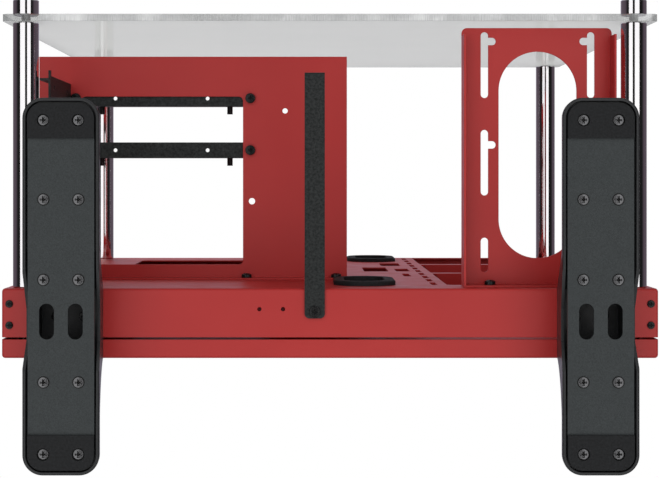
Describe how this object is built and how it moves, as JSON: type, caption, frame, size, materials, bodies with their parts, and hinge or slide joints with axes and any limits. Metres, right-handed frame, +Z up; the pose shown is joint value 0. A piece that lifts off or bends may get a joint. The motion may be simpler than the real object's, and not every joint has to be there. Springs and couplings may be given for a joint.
{
  "type": "open-frame computer chassis",
  "caption": "Upright open-frame computer chassis: red folded tray with a rear cover, chromed posts, a clear front panel, power supply shelf, pump bracket and black feet.",
  "frame": {"origin": "on the floor, under the middle of the overall box", "axes": "+Z up, -Y towards the clear front panel, +X to the right seen from the front"},
  "size_m": [0.47, 0.3329, 0.512],
  "materials": {
    "red_sheet": "satin powder coat",
    "black_sheet": "textured powder coat",
    "chrome": "polished",
    "clear_panel": "clear, polished",
    "foot_plastic": "fine texture",
    "foot_plate": "fine texture",
    "rubber": "matte",
    "black_screw": "black oxide",
    "steel": "zinc plated"
  },
  "bodies": {
    "root": {"tray": "red_sheet", "rear_cover": "red_sheet", "psu_shelf": "red_sheet", "pump_bracket": "red_sheet", "psu_bracket": "black_sheet", "psu_strap": "black_sheet", "front_card_rail": "black_sheet", "rear_card_rail": "black_sheet", "lower_left_post": "chrome", "lower_right_post": "chrome", "upper_left_post": "chrome", "upper_right_post": "chrome", "lower_left_post_cap": "chrome", "lower_right_post_cap": "chrome", "upper_left_post_cap": "chrome", "upper_right_post_cap": "chrome", "front_panel": "clear_panel", "left_foot_shell": "foot_plastic", "right_foot_shell": "foot_plastic", "left_foot_plate": "foot_plate", "right_foot_plate": "foot_plate", "left_front_foot_pad": "rubber", "left_rear_foot_pad": "rubber", "right_front_foot_pad": "rubber", "right_rear_foot_pad": "rubber", "lower_grommet": "rubber", "upper_grommet": "rubber", "shelf_screws": "black_screw", "rail_thumbscrews": "black_screw", "card_screws": "black_screw", "psu_bracket_screws": "black_screw", "strap_screw": "black_screw", "pump_bracket_screws": "black_screw", "cover_screws": "black_screw", "tray_corner_screws": "black_screw", "left_foot_plate_screws": "black_screw", "right_foot_plate_screws": "black_screw", "left_foot_tray_screws": "black_screw", "right_foot_tray_screws": "black_screw", "post_screws": "steel", "cover_pillars": "steel"}
  },
  "joints": []
}
